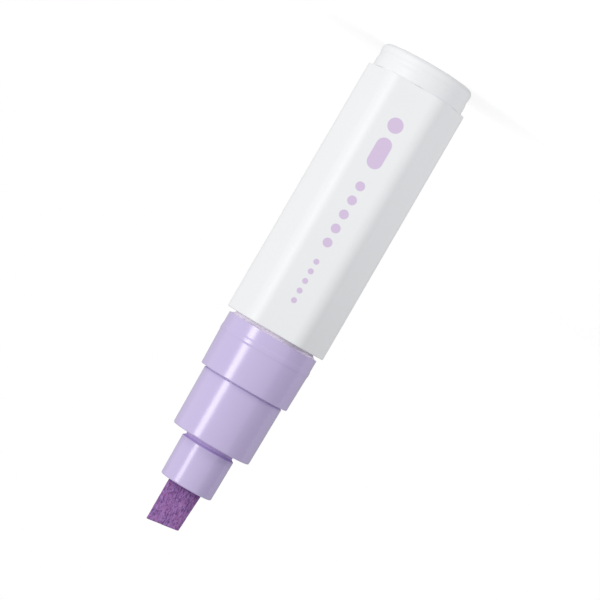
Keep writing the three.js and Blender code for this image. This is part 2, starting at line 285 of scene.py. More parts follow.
def fillet_corner(before, corner, after, fillet):
    """The arc that rounds one corner of an outline: it touches both lines at fillet / tan(half the
    angle between them), and a support point lies a little further out on each line."""
    back = (before - corner) / np.linalg.norm(before - corner)
    ahead = (after - corner) / np.linalg.norm(after - corner)
    half = math.acos(float(np.clip(back @ ahead, -1, 1))) / 2
    middle = (back + ahead) / np.linalg.norm(back + ahead)
    centre = corner + middle * fillet / math.sin(half)
    touch = fillet / math.tan(half)
    start = corner + back * touch - centre
    side = -np.sign(back[0] * ahead[1] - back[1] * ahead[0])
    angles = side * np.linspace(0, math.pi - 2 * half, ARC_STEPS + 1)
    x = centre[0] + start[0] * np.cos(angles) - start[1] * np.sin(angles)
    y = centre[1] + start[0] * np.sin(angles) + start[1] * np.cos(angles)
    first = corner + back * (touch + SUPPORT)
    last = corner + ahead * (touch + SUPPORT)
    return np.vstack([first, np.column_stack([x, y]), last])


def outline(corners):
    """Corner points (radius, height, fillet) joined by straight lines, each corner rounded by its
    fillet. The first and last point are kept as they are."""
    points = [np.array(corner[:2], float) for corner in corners]
    parts = [points[0][None]]
    for index in range(1, len(corners) - 1):
        before, corner, after = points[index - 1:index + 2]
        fillet = corners[index][2] if len(corners[index]) > 2 else 0
        if fillet:
            parts.append(fillet_corner(before, corner, after, fillet))
        else:
            parts.append(corner[None])
    parts.append(points[-1][None])
    return np.vstack(parts)


def bead(radius, height, centre, width):
    """A low round-backed bead on a wall, as outline corners that run up the wall."""
    return [
        (radius, centre - width / 2, height / 3),
        (radius + height, centre - width / 5, height),
        (radius + height, centre + width / 5, height),
        (radius, centre + width / 2, height / 3),
    ]


def add_mesh(name, grid, ring_closed=False, poles=False):
    """Makes a mesh from a grid of points, rows along the profile and columns anticlockwise round the
    axis. Columns always close on themselves; ring_closed joins the last row to the first, and poles
    closes the first and last rows on their middle points."""
    rows, columns = grid.shape[:2]
    vertices = grid.reshape(-1, 3)
    row_count = rows if ring_closed else rows - 1
    row = np.arange(row_count)[:, None]
    column = np.arange(columns)[None]
    next_row = (row + 1) % rows
    next_column = (column + 1) % columns
    corners = [row * columns + column, row * columns + next_column,
               next_row * columns + next_column, next_row * columns + column]
    quads = np.stack(np.broadcast_arrays(*corners), axis=-1).reshape(-1, 4)
    triangles = np.zeros((0, 3), int)
    if poles:
        low, high = rows * columns, rows * columns + 1
        vertices = np.vstack([vertices, grid[0].mean(axis=0), grid[-1].mean(axis=0)])
        ring = np.arange(columns)
        after = (ring + 1) % columns
        top = (rows - 1) * columns
        bottom_fan = np.column_stack([np.full(columns, low), after, ring])
        top_fan = np.column_stack([np.full(columns, high), top + ring, top + after])
        triangles = np.vstack([bottom_fan, top_fan])
    mesh = bpy.data.meshes.new(name)
    mesh.vertices.add(len(vertices))
    mesh.vertices.foreach_set("co", vertices.astype(np.float32).ravel())
    loops = np.concatenate([quads.ravel(), triangles.ravel()])
    totals = np.concatenate([np.full(len(quads), 4), np.full(len(triangles), 3)])
    starts = np.concatenate([[0], np.cumsum(totals)[:-1]])
    mesh.loops.add(len(loops))
    mesh.loops.foreach_set("vertex_index", loops.astype(np.int32))
    mesh.polygons.add(len(totals))
    mesh.polygons.foreach_set("loop_start", starts.astype(np.int32))
    mesh.polygons.foreach_set("loop_total", totals.astype(np.int32))
    mesh.polygons.foreach_set("use_smooth", np.ones(len(totals), bool))
    mesh.update(calc_edges=True)
    mesh.validate()
    mesh.set_sharp_from_angle(angle=SHARP_ANGLE)
    piece = bpy.data.objects.new(name, mesh)
    bpy.context.scene.collection.objects.link(piece)
    return piece


def turned_grid(points):
    """A profile of (radius, height) turned about Z: x = radius cos(angle), y = radius sin(angle)."""
    angles = np.arange(ROUND_STEPS) * 2 * math.pi / ROUND_STEPS
    radius, height = points[:, :1], points[:, 1:]
    x = radius * np.cos(angles)
    y = radius * np.sin(angles)
    return np.stack([x, y, np.broadcast_to(height, x.shape)], axis=-1)


def dress(piece, node, body, material):
    """The piece stands for a CAD node, rides on its body and has its material."""
    piece.data.materials.append(material)
    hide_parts(node)
    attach(piece, body)
    return piece


def hexagon_radius(angles, inset):
    """How far a hexagon with round corners reaches at each angle, with its walls moved in by inset.
    A flat reaches apothem / cos(angle from its normal); a corner's arc reaches to where the ray meets
    a circle about the corner's own centre."""
    apothem = barrel_high.y - inset
    corner = BARREL_CORNER - inset
    turn = (angles + math.pi / 6) % (math.pi / 3) - math.pi / 6
    bend = np.abs(turn)
    centre_x = apothem - corner
    centre_y = centre_x * math.tan(math.pi / 6)
    flat = apothem / np.cos(bend)
    across = centre_x * np.sin(bend) - centre_y * np.cos(bend)
    along = centre_x * np.cos(bend) + centre_y * np.sin(bend)
    arc = along + np.sqrt(np.maximum(corner ** 2 - across ** 2, 0))
    return np.where(np.tan(bend) <= centre_y / apothem, flat, arc)


def make_barrel():
    """Outside, a hexagon with round corners and a small edge radius at both ends; inside, the turned
    profile of the reservoir and the mouth. Rows of the grid run up the outside and down the bore."""
    angles = np.arange(2 * ROUND_STEPS) * math.pi / ROUND_STEPS
    low, high = barrel_low.z, barrel_high.z
    wall = barrel_high.y
    outside = outline([
        (wall - END_RUN, low),
        (wall, low, BARREL_REAR_EDGE),
        (wall, high, BARREL_EDGE),
        (wall - END_RUN, high),
    ])[1:-1]
    snap = high - SNAP_PLACE
    inside = outline([
        (MOUTH_RADIUS + END_RUN, high),
        (MOUTH_RADIUS, high, BORE_EDGE),
        *bead(MOUTH_RADIUS, SNAP_HEIGHT, snap, SNAP_WIDTH + 2 * SNAP_PLAY)[::-1],
        (MOUTH_RADIUS, high - MOUTH_DEPTH),
        (RESERVOIR_RADIUS, high - MOUTH_DEPTH),
        (RESERVOIR_RADIUS, low, BORE_EDGE),
        (RESERVOIR_RADIUS + END_RUN, low),
    ])[1:-1]
    facet = math.pi / 6
    hexagon = np.stack([hexagon_radius(angles + facet, wall - across) for across in outside[:, 0]])
    circle = np.broadcast_to(inside[:, :1], (len(inside), len(angles)))
    radius = np.vstack([hexagon, circle])
    height = np.concatenate([outside[:, 1], inside[:, 1]])[:, None]
    x = radius * np.cos(angles)
    y = radius * np.sin(angles)
    grid = np.stack([x, y, np.broadcast_to(height, x.shape)], axis=-1)
    return add_mesh("barrel_shell", grid, ring_closed=True)


def make_plug():
    """The tail plug's profile turned about Z, from the middle of its flat end, up the outside, and
    down the hollow spigot to the middle of its floor."""
    low, seat, top = plug_low.z, barrel_low.z, plug_high.z
    inner = PLUG_SPIGOT_RADIUS - PLUG_SPIGOT_WALL
    groove = PLUG_RADIUS - PLUG_GROOVE_DEPTH
    reach = PLUG_GROOVE_WIDTH / 2
    ribs = []
    for number in range(1, PLUG_RIBS + 1):
        height = seat + number * PLUG_RIB_PITCH
        ribs += bead(PLUG_SPIGOT_RADIUS, PLUG_RIB_RADIUS - PLUG_SPIGOT_RADIUS, height, PLUG_RIB_WIDTH)
    points = outline([
        (PLUG_POLE_RADIUS, low),
        (PLUG_RADIUS, low, PLUG_EDGE),
        (PLUG_RADIUS, PLUG_GROOVE_HEIGHT - reach, PLUG_GROOVE_FILLET),
        (groove, PLUG_GROOVE_HEIGHT - reach / 3, PLUG_GROOVE_FILLET),
        (groove, PLUG_GROOVE_HEIGHT + reach / 3, PLUG_GROOVE_FILLET),
        (PLUG_RADIUS, PLUG_GROOVE_HEIGHT + reach, PLUG_GROOVE_FILLET),
        (PLUG_SHOULDER_RADIUS, seat, PLUG_SHOULDER_EDGE),
        (PLUG_SPIGOT_RADIUS, seat),
        *ribs,
        (PLUG_SPIGOT_RADIUS, top, PLUG_SPIGOT_WALL / 3),
        (inner, top, PLUG_SPIGOT_WALL / 3),
        (inner, PLUG_FLOOR, PLUG_SPIGOT_WALL),
        (PLUG_POLE_RADIUS, PLUG_FLOOR),
    ])
    return add_mesh("tail_plug_shell", turned_grid(points), poles=True)


def make_front_section():
    """The front section's profile turned about Z: skirt, seal groove, snap bead, stem, collar with the
    cap's bead, the small sunk step behind the grip, grip, and back through the bores. The collar's
    rear edge reaches a little over the groove at the barrel's mouth."""
    mouth = barrel_high.z
    collar_rear = mouth + MOUTH_GROOVE
    collar_front = collar_rear + COLLAR_LENGTH
    chamber_front = collar_front - CHAMBER_SETBACK
    rear, front = front_low.z, front_high.z
    seal = rear + SEAL_PLACE
    snap = holder_low.z + HOLDER_SNAP_PLACE
    points = outline([
        (CHAMBER_RADIUS, rear),
        (SKIRT_RADIUS, rear, COLLAR_EDGE),
        (SKIRT_RADIUS, seal - SEAL_HALF, SHARP_EDGE),
        (SEAL_GROOVE_RADIUS, seal - SEAL_HALF, SHARP_EDGE),
        (SEAL_GROOVE_RADIUS, seal + SEAL_HALF, SHARP_EDGE),
        (SKIRT_RADIUS, seal + SEAL_HALF, SHARP_EDGE),
        *bead(SKIRT_RADIUS, SNAP_HEIGHT, mouth - SNAP_PLACE, SNAP_WIDTH),
        (SKIRT_RADIUS, mouth - STEM_SINK, SHARP_EDGE),
        (STEM_RADIUS, mouth - STEM_SINK, SHARP_EDGE),
        (STEM_RADIUS, collar_rear - COLLAR_REAR_SINK, SHARP_EDGE),
        (COLLAR_RADIUS, collar_rear - COLLAR_REAR_SINK, COLLAR_REAR_EDGE),
        *bead(COLLAR_RADIUS, CAP_BEAD_HEIGHT, collar_rear + CAP_BEAD_PLACE, CAP_BEAD_WIDTH),
        (COLLAR_RADIUS - COLLAR_DRAFT, collar_front, COLLAR_EDGE),
        (GRIP_RADIUS - STEP_SINK, collar_front, SOFT_EDGE),
        (GRIP_RADIUS - STEP_SINK, collar_front + STEP_WIDTH / 2, STEP_FILLET),
        (GRIP_RADIUS, collar_front + STEP_WIDTH, GRIP_REAR_EDGE),
        (GRIP_RADIUS - GRIP_DRAFT, front, GRIP_EDGE),
        (GRIP_BORE, front, SOFT_EDGE),
        *bead(GRIP_BORE, HOLDER_SNAP_HEIGHT, snap, HOLDER_SNAP_WIDTH + 2 * SNAP_PLAY)[::-1],
        (GRIP_BORE, chamber_front, SHARP_EDGE),
        (CHAMBER_RADIUS, chamber_front, SHARP_EDGE),
        (CHAMBER_RADIUS, rear + SOFT_EDGE),
    ])
    return add_mesh("front_section_shell", turned_grid(points), ring_closed=True)


def make_mouth_gasket():
    """The ring on the stem, turned about Z, coloured near white as painted light in the shaded groove.
    In front of the barrel's mouth it narrows a little, then flares out towards the collar in a curve."""
    rear, front = gasket_low.z, barrel_high.z + MOUTH_GROOVE - COLLAR_REAR_SINK
    bore = STEM_RADIUS + GASKET_PLAY
    waist = GASKET_RADIUS - GASKET_TAPER
    points = outline([
        (bore, rear + GASKET_SEAM),
        (bore, rear, SHARP_EDGE),
        (GASKET_RADIUS, rear, SOFT_EDGE),
        (GASKET_RADIUS, barrel_high.z),
        (waist, front - GASKET_FLARE / 2, GASKET_FLARE),
        (waist + GASKET_FLARE, front),
        (bore, front, SHARP_EDGE),
        (bore, rear + GASKET_SEAM + SOFT_EDGE),
    ])
    return add_mesh("mouth_gasket_ring", turned_grid(points), ring_closed=True)


def rounded_rectangle(half_x, half_y, corner, count):
    """count points anticlockwise round a rectangle with round corners, evenly along its length. Each
    of the four sides is a straight run followed by a quarter circle."""
    straight = np.array([2 * (half_y - corner), 2 * (half_x - corner)] * 2)
    quarter = corner * math.pi / 2
    stops = np.concatenate([[0], np.cumsum(straight + quarter)])
    along = np.arange(count) * stops[-1] / count
    side = np.searchsorted(stops, along, side="right") - 1
    past = along - stops[side]
    run = np.minimum(past, straight[side])
    bend = np.maximum(past - straight[side], 0) / corner
    face = np.array([half_x, half_y, half_x, half_y])[side] - corner
    edge = run - straight[side] / 2
    out = face + corner * np.cos(bend)
    slide = edge + corner * np.sin(bend)
    turn = side * math.pi / 2
    x = out * np.cos(turn) - slide * np.sin(turn)
    y = out * np.sin(turn) + slide * np.cos(turn)
    return np.column_stack([x, y])


def nib_section(half_x, half_y, corner, widened, count):
    """The nib's section: a rectangle with round corners, its long sides a little crowned and two
    opposite corners worn away. y shrinks with the square of the share of the way out along x. Then
    every point moves out by widened, square to the edge."""
    section = rounded_rectangle(half_x, half_y, corner, count)
    x, y = section.T
    reach = np.abs(x) / half_x
    worn = np.clip((reach - NIB_BEVEL_START) / (1 - NIB_BEVEL_START), 0, 1) ** 2
    worn = np.where(x * y > 0, worn, 0)
    section[:, 1] *= 1 - NIB_CROWN * reach ** 2 - NIB_BEVEL * worn
    along = np.roll(section, -1, axis=0) - np.roll(section, 1, axis=0)
    outward = np.column_stack([along[:, 1], -along[:, 0]])
    return section + widened * outward / np.linalg.norm(outward, axis=1, keepdims=True)


def turn_about_z(grid, angle):
    """Turns a grid of points about the Z axis."""
    x = grid[..., 0] * math.cos(angle) - grid[..., 1] * math.sin(angle)
    y = grid[..., 0] * math.sin(angle) + grid[..., 1] * math.cos(angle)
    return np.stack([x, y, grid[..., 2]], axis=-1)


def make_holder():
    """Outside, the turned profile of spigot, groove and neck; inside, the nib's slot, which has the
    nib's own section and a little play. Both end faces blend the circle into that section."""
    neck_rear = holder_high.z - NECK_LENGTH
    neck = holder_high.x
    rear, front = holder_low.z, holder_high.z
    points = outline([
        (SPIGOT_RADIUS - END_RUN, rear),
        (SPIGOT_RADIUS, rear, NECK_EDGE),
        *bead(SPIGOT_RADIUS, HOLDER_SNAP_HEIGHT, rear + HOLDER_SNAP_PLACE, HOLDER_SNAP_WIDTH),
        (SPIGOT_RADIUS, front_high.z + SPIGOT_HOLLOW_START, SPIGOT_HOLLOW_FILLET),
        (SPIGOT_RADIUS - SPIGOT_HOLLOW, neck_rear - SPIGOT_HOLLOW_END, SPIGOT_HOLLOW_FILLET),
        (neck, neck_rear + NECK_CHAMFER, NECK_REAR_EDGE),
        (neck - NECK_DRAFT, front, NECK_EDGE),
        (neck - NECK_DRAFT - END_RUN, front),
    ])[1:-1]
    outside = turned_grid(points)
    stations = [
        (SLOT_LIP, front),
        (SLOT_LIP_BEND, front - SLOT_LIP_BEND),
        (0, front - SLOT_LIP),
        (0, rear + SLOT_LIP),
        (SLOT_LIP_BEND, rear + SLOT_LIP_BEND),
        (SLOT_LIP, rear),
    ]
    rings = []
    for widened, height in stations:
        play = SLOT_PLAY + widened
        section = nib_section(NIB_WIDTH / 2, NIB_THICKNESS / 2, NIB_CORNER, play, ROUND_STEPS)
        rings.append(np.column_stack([section, np.full(len(section), height)]))
    inside = np.stack(rings)
    start = int(np.argmin(np.abs(np.arctan2(inside[0, :, 1], inside[0, :, 0]))))
    inside = turn_about_z(np.roll(inside, -start, axis=1), NIB_TURN)
    shift = round(NIB_TURN / (2 * math.pi) * ROUND_STEPS)
    grid = np.concatenate([outside, np.roll(inside, shift, axis=1)])
    return add_mesh("nib_holder_shell", grid, ring_closed=True)


def hash_noise(points, cell, seed):
    """Smooth value noise from -1 to 1: each cell corner has a value from sin of its own number, and the
    eight corners are mixed with smoothed weights."""
    place = points / cell
    base = np.floor(place).astype(int)
    part = place - base
    weight = part * part * (3 - 2 * part)
    total = np.zeros(points.shape[:-1])
    for corner in np.ndindex(2, 2, 2):
        step = np.array(corner)
        number = np.sin((base + step) @ np.array(HASH_STEPS) + seed) * HASH_SCALE
        value = 2 * (number - np.floor(number)) - 1
        share = np.where(step == 1, weight, 1 - weight).prod(axis=-1)
        total = total + value * share
    return total


def make_nib():
    """A felt block: sections along Z, drawn together in y and leaning over in x from the neck to a
    blunt slanted edge whose rim is rounded, then closed on its middle. A point's height falls with
    tan(slant) times its distance from the long corner. The skin swells a little, and noise stretched
    along Z roughens it."""
    neck = holder_high.z
    tip = nib_high.z - NIB_TIP_ROOM
    slope = math.tan(NIB_SLANT)
    half_x, half_y, half_tip = NIB_WIDTH / 2, NIB_THICKNESS / 2, NIB_TIP_THICKNESS / 2
    foot = nib_low.z + np.array(NIB_FOOT_HEIGHTS)
    fine_from = neck - NIB_FINE_FROM
    buried = np.linspace(nib_low.z + NIB_FOOT_EDGE, fine_from, NIB_BURIED_ROWS)
    shown = np.linspace(fine_from + NIB_ROW_STEP, tip - NIB_TIP_CORNER, NIB_SHOWN_ROWS)
    rim_angle = np.linspace(0, math.pi / 2, NIB_RIM_ROWS + 1)[1:]
    rim_inset = NIB_TIP_CORNER * (1 - np.cos(rim_angle))
    rim_height = tip - NIB_TIP_CORNER * (1 - np.sin(rim_angle))
    face_inset = np.linspace(NIB_TIP_CORNER, half_tip - NIB_TIP_MIDDLE, NIB_FACE_ROWS + 1)[1:]
    face_height = np.full(NIB_FACE_ROWS, tip)
    heights = np.concatenate([foot, buried, shown, rim_height, face_height])
    straight = np.zeros(NIB_BURIED_ROWS + NIB_SHOWN_ROWS)
    insets = np.concatenate([NIB_FOOT_INSETS, straight, rim_inset, face_inset])
    wedge = np.clip((heights - neck) / (tip - neck), 0, 1)
    lean = np.clip((heights - nib_low.z) / (neck - nib_low.z), 0, 1) * slope
    rings = []
    for height, inset, drawn, leaning in zip(heights, insets, wedge, lean):
        x = half_x - inset
        y = half_y + (half_tip - half_y) * drawn - inset
        section = nib_section(x, y, min(NIB_CORNER, NIB_LARGEST_CORNER * y), 0, NIB_STEPS)
        rise = height + leaning * (section[:, 0] - half_x)
        rings.append(np.column_stack([section[:, 0] + NIB_LEAN * drawn, section[:, 1], rise]))
    grid = np.stack(rings)
    middle = grid.mean(axis=1, keepdims=True)
    outward = (grid - middle) * np.array([1, 1, 0])
    outward = outward / np.maximum(np.linalg.norm(outward, axis=-1, keepdims=True), TINY)
    stretched = grid * np.array([1, 1, FELT_STRETCH])
    rough = sum(share * hash_noise(stretched, cell, seed) for share, cell, seed in FELT_LAYERS)
    grid = grid + outward * (NIB_SWELL + FELT_ROUGHNESS * rough[..., None])
    return add_mesh("nib_felt", turn_about_z(grid, NIB_TURN), poles=True)


def make_spring():
    """One wire wound about Z, its curls close at both ends and open between. Its middle line runs
    through radius times (cos, sin) of 2 pi times the number of the curl, and rises by one pitch a
    curl. Its skin is a circle carried along square to that line."""
    low, high = spring_low.z + SPRING_WIRE / 2, spring_high.z - SPRING_WIRE / 2
    radius = spring_high.x - SPRING_WIRE / 2
    open_curls = SPRING_CURLS - 2 * SPRING_CLOSED_CURLS
    pitch = (high - low - 2 * SPRING_CLOSED_CURLS * SPRING_CLOSED_PITCH) / open_curls
    curl = np.linspace(0, SPRING_CURLS, SPRING_CURLS * WIRE_STEPS + 1)
    opened = np.clip(curl - SPRING_CLOSED_CURLS, 0, open_curls)
    height = low + (curl - opened) * SPRING_CLOSED_PITCH + opened * pitch
    angle = 2 * math.pi * curl
    flat, ones = np.zeros_like(curl), np.ones_like(curl)
    radial = np.stack([np.cos(angle), np.sin(angle), flat], axis=-1)
    forward = np.stack([-np.sin(angle), np.cos(angle), ones * pitch / (2 * math.pi * radius)], axis=-1)
    across = np.cross(forward / np.linalg.norm(forward, axis=-1, keepdims=True), radial)
    middle = radius * radial + np.stack([flat, flat, height], axis=-1)
    turn = (np.arange(WIRE_SIDES) * 2 * math.pi / WIRE_SIDES)[None, :, None]
    skin = np.cos(turn) * radial[:, None] + np.sin(turn) * across[:, None]
    return add_mesh("valve_spring_wire", middle[:, None] + SPRING_WIRE / 2 * skin, poles=True)


class Socket:
    """An output socket of a material's nodes that can be used in sums; each operation adds a node."""

    def __init__(self, tree, socket):
        self.tree = tree
        self.socket = socket

    def node(self, kind, inputs, output=0, **settings):
        """Adds a node of any kind: first its settings, then the values or links of its inputs."""
        node = self.tree.nodes.new(kind)
        for name, value in settings.items():
            if name == "stops":
                while len(node.color_ramp.elements) < len(value):
                    node.color_ramp.elements.new(0.5)
                for stop, (place, colour) in zip(node.color_ramp.elements, value):
                    stop.position = place
                    stop.color = colour
            else:
                setattr(node, name, value)
        for name, value in inputs.items():
            if isinstance(value, Socket):
                self.tree.links.new(value.socket, node.inputs[name])
            else:
                node.inputs[name].default_value = value
        return Socket(self.tree, node.outputs[output])

    def maths(self, operation, *values, **settings):
        return self.node("ShaderNodeMath", dict(enumerate(values)), operation=operation, **settings)

    def __add__(self, other):
        return self.maths("ADD", self, other)

    def __radd__(self, other):
        return self.maths("ADD", other, self)

    def __sub__(self, other):
        return self.maths("SUBTRACT", self, other)

    def __rsub__(self, other):
        return self.maths("SUBTRACT", other, self)

    def __mul__(self, other):
        return self.maths("MULTIPLY", self, other)

    def __rmul__(self, other):
        return self.maths("MULTIPLY", other, self)

    def __truediv__(self, other):
        return self.maths("DIVIDE", self, other)

    def absolute(self):
        return self.maths("ABSOLUTE", self)

    def root(self):
        return self.maths("SQRT", self)

    def below(self, limit, soft):
        """1 where this is below the limit and 0 above it, with an edge of that softness."""
        return self.maths("ADD", (limit - self) / soft, 0.5, use_clamp=True)

    def within(self, low, high, soft):
        """1 between low and high, with edges of that softness."""
        return (low - self).below(0.0, soft) * (self - high).below(0.0, soft)

    def at_most(self, other):
        return self.maths("MINIMUM", self, other)

    def at_least(self, other):
        return self.maths("MAXIMUM", self, other)

    def mix(self, first, second):
        """A colour between first and second, by this as the share of the second."""
        inputs = {0: self, 6: first, 7: second}
        return self.node("ShaderNodeMix", inputs, output=2, data_type="RGBA")

    def axis(self, name):
        """One coordinate of a vector, by its letter."""
        return self.node("ShaderNodeSeparateXYZ", {0: self}, output="XYZ".index(name))

    def along_nib(self, share):
        """The same coordinates with Z multiplied by share, so that a pattern is drawn out along Z."""
        return self.node("ShaderNodeVectorMath", {0: self, 1: (1, 1, share)}, operation="MULTIPLY")

    def noise(self, scale, detail=2.0, roughness=0.5):
        inputs = {"Vector": self, "Scale": scale, "Detail": detail, "Roughness": roughness}
        return self.node("ShaderNodeTexNoise", inputs)

    def ramp(self, *stops):
        return self.node("ShaderNodeValToRGB", {0: self}, stops=stops)


def from_screen(red, green, blue):
    """A colour as a screen shows it, 0 to 255, as the linear colour that a shader takes: the sRGB
    curve undone."""
    screen = np.array([red, green, blue]) / 255
    linear = np.where(screen <= 0.04045, screen / 12.92, ((screen + 0.055) / 1.055) ** 2.4)
    return (*linear.tolist(), 1.0)


def new_material(name, **constants):
    """A material with its shader, the constants set on the shader's own sockets, and Object
    coordinates to build on."""
    material = bpy.data.materials.new(name)
    material.use_nodes = True
    tree = material.node_tree
    shader = next(node for node in tree.nodes if node.type == "BSDF_PRINCIPLED")
    for socket, value in constants.items():
        shader.inputs[socket.replace("_", " ")].default_value = value
    place = Socket(tree, tree.nodes.new("ShaderNodeTexCoord").outputs["Object"])
    return material, shader, place


def feed(shader, socket, value):
    value.tree.links.new(value.socket, shader.inputs[socket])


def set_roughness(shader, least, spread, pattern):
    """Roughness from least to least + spread, by a pattern from 0 to 1."""
    feed(shader, "Roughness", least + spread * pattern)


def bump(height, distance):
    return height.node("ShaderNodeBump", {"Height": height, "Distance": distance, "Strength": 1.0})


def looked_at(tree):
    """1 for the rays that look at a thing straight, by reflection or through another, else 0."""
    path = tree.nodes.new("ShaderNodeLightPath")
    seen = Socket(tree, path.outputs["Is Camera Ray"])
    glossy = Socket(tree, path.outputs["Is Glossy Ray"])
    transmitted = Socket(tree, path.outputs["Is Transmission Ray"])
    return seen.at_least(glossy).at_least(transmitted)


# Colours
WHITE = from_screen(233, 234, 237)
WHITE_DEEP = from_screen(231, 232, 235)
LILAC = from_screen(197, 184, 223)
LILAC_DEEP = from_screen(193, 179, 221)
# Darker lilac painted in as the shade of the groove behind the holder's neck
LILAC_GROOVE_SHADE = from_screen(188, 167, 219)
PRINT = from_screen(209, 190, 221)
NATURAL = from_screen(226, 228, 230)
NATURAL_DEEP = from_screen(215, 217, 219)
RUBBER = from_screen(38, 38, 40)
RUBBER_BLOOM = from_screen(58, 58, 60)
STEEL = from_screen(196, 198, 202)
STEEL_BRIGHT = from_screen(214, 215, 218)
# Near white for the mouth gasket: painted light for the shaded groove at the barrel's mouth
GASKET_PAINTED_LIGHT = from_screen(250, 242, 255)
GASKET_PAINTED_LIGHT_DEEP = from_screen(248, 239, 255)
FELT_DARK = from_screen(80, 49, 101)
FELT_MIDDLE = from_screen(137, 98, 160)
FELT_LIGHT = from_screen(174, 137, 194)
FELT_RED = from_screen(166, 111, 172)


def moulded(name, colour, deeper, roughness, refraction):
    """Smooth moulded plastic: the colour drifts a little through the moulding, the gloss varies in
    soft patches, and the skin has a faint, wide ripple."""
    material, shader, place = new_material(name, IOR=refraction)
    drift = place.noise(scale=70.0).mix(colour, deeper)
    feed(shader, "Base Color", drift)
    set_roughness(shader, roughness, spread=0.05, pattern=place.noise(scale=220.0, detail=3.0))
    feed(shader, "Normal", bump(place.noise(scale=160.0, detail=1.0), RIPPLE_DEPTH))
    return material, shader, place, drift


def printed_white():
    """The barrel's white, with a plain print on the front facet: two rows of dots, a rounded bar and
    a large dot. A mark's distance is measured from its centre line, less its radius."""
    material, shader, place, white = moulded(
        "printed_white", WHITE, WHITE_DEEP, WHITE_ROUGHNESS, WHITE_REFRACTION)
    across, depth, height = place.axis("X"), place.axis("Y"), place.axis("Z")
    ink = 0.0
    for radius, low, high in PRINT_MARKS:
        beyond = ((height - (low + high) / 2).absolute() - (high - low) / 2).at_least(0.0)
        mark = (across * across + beyond * beyond).root().below(radius, PRINT_SOFTNESS)
        ink = mark.at_least(ink)
    ink = ink * depth.below(0.0, MM)
    feed(shader, "Base Color", ink.mix(white, PRINT))
    return material


def groove_shaded_lilac():
    """The holder's lilac. In the groove behind the neck it is painted darker as shade and made rougher.
    """
    material, shader, place, lilac = moulded(
        "groove_shaded_lilac", LILAC, LILAC_DEEP, HOLDER_ROUGHNESS, LILAC_REFRACTION)
    # Painted shade: the groove behind the neck is coloured darker, and it is rougher
    end = holder_high.z - NECK_LENGTH + GROOVE_SHADE_REACH
    groove = place.axis("Z").within(front_high.z, end, GROOVE_SHADE_SOFTNESS)
    feed(shader, "Base Color", groove.mix(lilac, LILAC_GROOVE_SHADE))
    set_roughness(shader, HOLDER_ROUGHNESS, spread=GROOVE_ROUGHNESS, pattern=groove)
    return material


def bare_plastic():
    """Uncoloured plastic of the valve, a little uneven in tone and gloss."""
    material, shader, place = new_material("natural_plastic")
    feed(shader, "Base Color", place.noise(scale=120.0).mix(NATURAL, NATURAL_DEEP))
    set_roughness(shader, least=0.35, spread=0.1, pattern=place.noise(scale=300.0))
    return material


def black_rubber():
    """Black rubber with a faint pale bloom and a fine grain."""
    material, shader, place = new_material("seal_rubber")
    bloom = place.noise(scale=400.0, detail=3.0)
    feed(shader, "Base Color", bloom.mix(RUBBER, RUBBER_BLOOM))
    set_roughness(shader, least=0.65, spread=0.2, pattern=bloom)
    feed(shader, "Normal", bump(place.noise(scale=2500.0), RUBBER_GRAIN_DEPTH))
    return material


def pale_rubber():
    """The mouth gasket's rubber, near white as painted light in the shaded groove, dull where it has
    bloomed.
    """
    material, shader, place = new_material("pale_rubber", IOR=GASKET_REFRACTION)
    bloom = place.noise(scale=300.0)
    feed(shader, "Base Color", bloom.mix(GASKET_PAINTED_LIGHT, GASKET_PAINTED_LIGHT_DEEP))
    set_roughness(shader, least=0.45, spread=0.1, pattern=bloom)
    return material


def bright_steel(name, low_roughness):
    """Bare steel with small marks that are brighter and duller."""
    material, shader, place = new_material(name, Metallic=1.0)
    marks = place.noise(scale=900.0, detail=3.0)
    feed(shader, "Base Color", marks.mix(STEEL, STEEL_BRIGHT))
    set_roughness(shader, low_roughness, spread=0.15, pattern=marks)
    return material


def felt():
    """Dense felt filled with paint: fine short fibres drawn along the nib, small dark pits between
    them, patches where the paint has dried redder or bluer, and painted shade: a dark band at the
    holder."""
    material, shader, place = new_material("nib_felt", Specular_IOR_Level=FELT_SPECULAR)
    fibres = place.along_nib(share=0.3).noise(scale=4200.0, detail=3.0, roughness=0.6)
    streaks = place.along_nib(share=0.3).noise(scale=2600.0)
    pits = place.along_nib(share=0.45).noise(scale=3600.0).below(limit=0.4, soft=0.1)
    strands = fibres * 0.5 + streaks * 0.5
    tone = strands.ramp(*zip(TONE_STOPS, (FELT_DARK, FELT_MIDDLE, FELT_LIGHT)))
    patches = place.noise(scale=420.0, detail=1.0).below(limit=0.5, soft=0.25)
    tinted = (patches * RED_SHARE).mix(tone, FELT_RED)
    # Painted shade: the felt darkens towards the holder's neck, as in the shadow of its overhang
    neck_shade = place.axis("Z").below(holder_high.z + NECK_SHADE_REACH, NECK_SHADE_SOFTNESS)
    pits_and_neck_shade = (pits * PIT_SHARE + neck_shade * NECK_SHADE_SHARE).at_most(DARKEST_SHARE)
    feed(shader, "Base Color", pits_and_neck_shade.mix(tinted, FELT_DARK))
    feed(shader, "Normal", bump(strands - pits * 0.5, FELT_BUMP_DEPTH))
    set_roughness(shader, least=0.78, spread=0.2, pattern=fibres)
    return material


def add_flat(name, width, depth):
    """A flat rectangle about the origin, facing +Z."""
    x, y = width / 2, depth / 2
    mesh = bpy.data.meshes.new(name)
    mesh.from_pydata([(-x, -y, 0), (x, -y, 0), (x, y, 0), (-x, y, 0)], [], [(0, 1, 2, 3)])
    flat = bpy.data.objects.new(name, mesh)
    bpy.context.scene.collection.objects.link(flat)
    return flat


